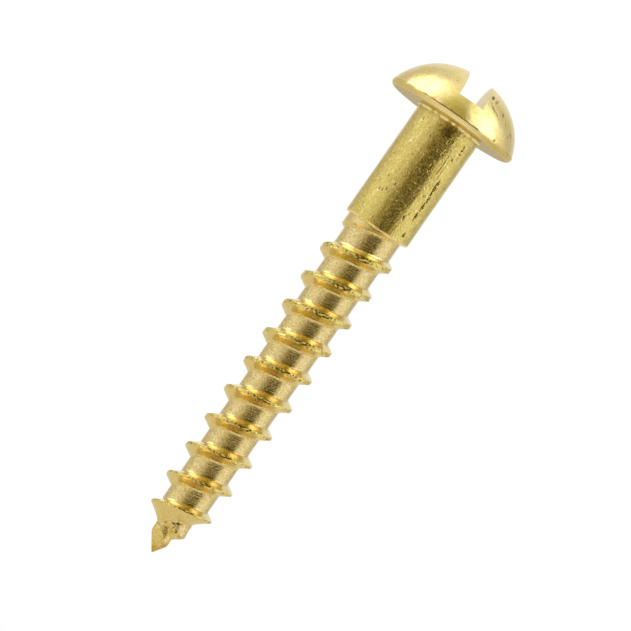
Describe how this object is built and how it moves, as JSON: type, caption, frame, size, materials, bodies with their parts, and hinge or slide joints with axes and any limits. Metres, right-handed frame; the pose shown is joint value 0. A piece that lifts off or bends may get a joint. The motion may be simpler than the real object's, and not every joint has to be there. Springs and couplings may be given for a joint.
{
  "type": "wood screw",
  "caption": "Slotted round-head wood screw with a plain shank, a right-hand thread and a gimlet point.",
  "frame": {"origin": "on the screw's axis, in the plane of the flat bearing face under the head", "axes": "+Z along the axis from the tip towards the head; -Y towards the slot's end that is turned 4.7 degrees towards +X; +X to the right seen from -Y"},
  "size_m": [0.007, 0.007, 0.028],
  "materials": {
    "head": "forged, lightly tumbled, soft satin sheen with small pits",
    "shank": "drawn wire, rough along its length, slightly tarnished",
    "thread": "freshly cut flanks with turning marks, drawn skin left on the crests",
    "point": "cut, slightly burred"
  },
  "bodies": {
    "root": {"head": "head", "shank": "shank", "thread": "thread", "point": "point"}
  },
  "joints": []
}
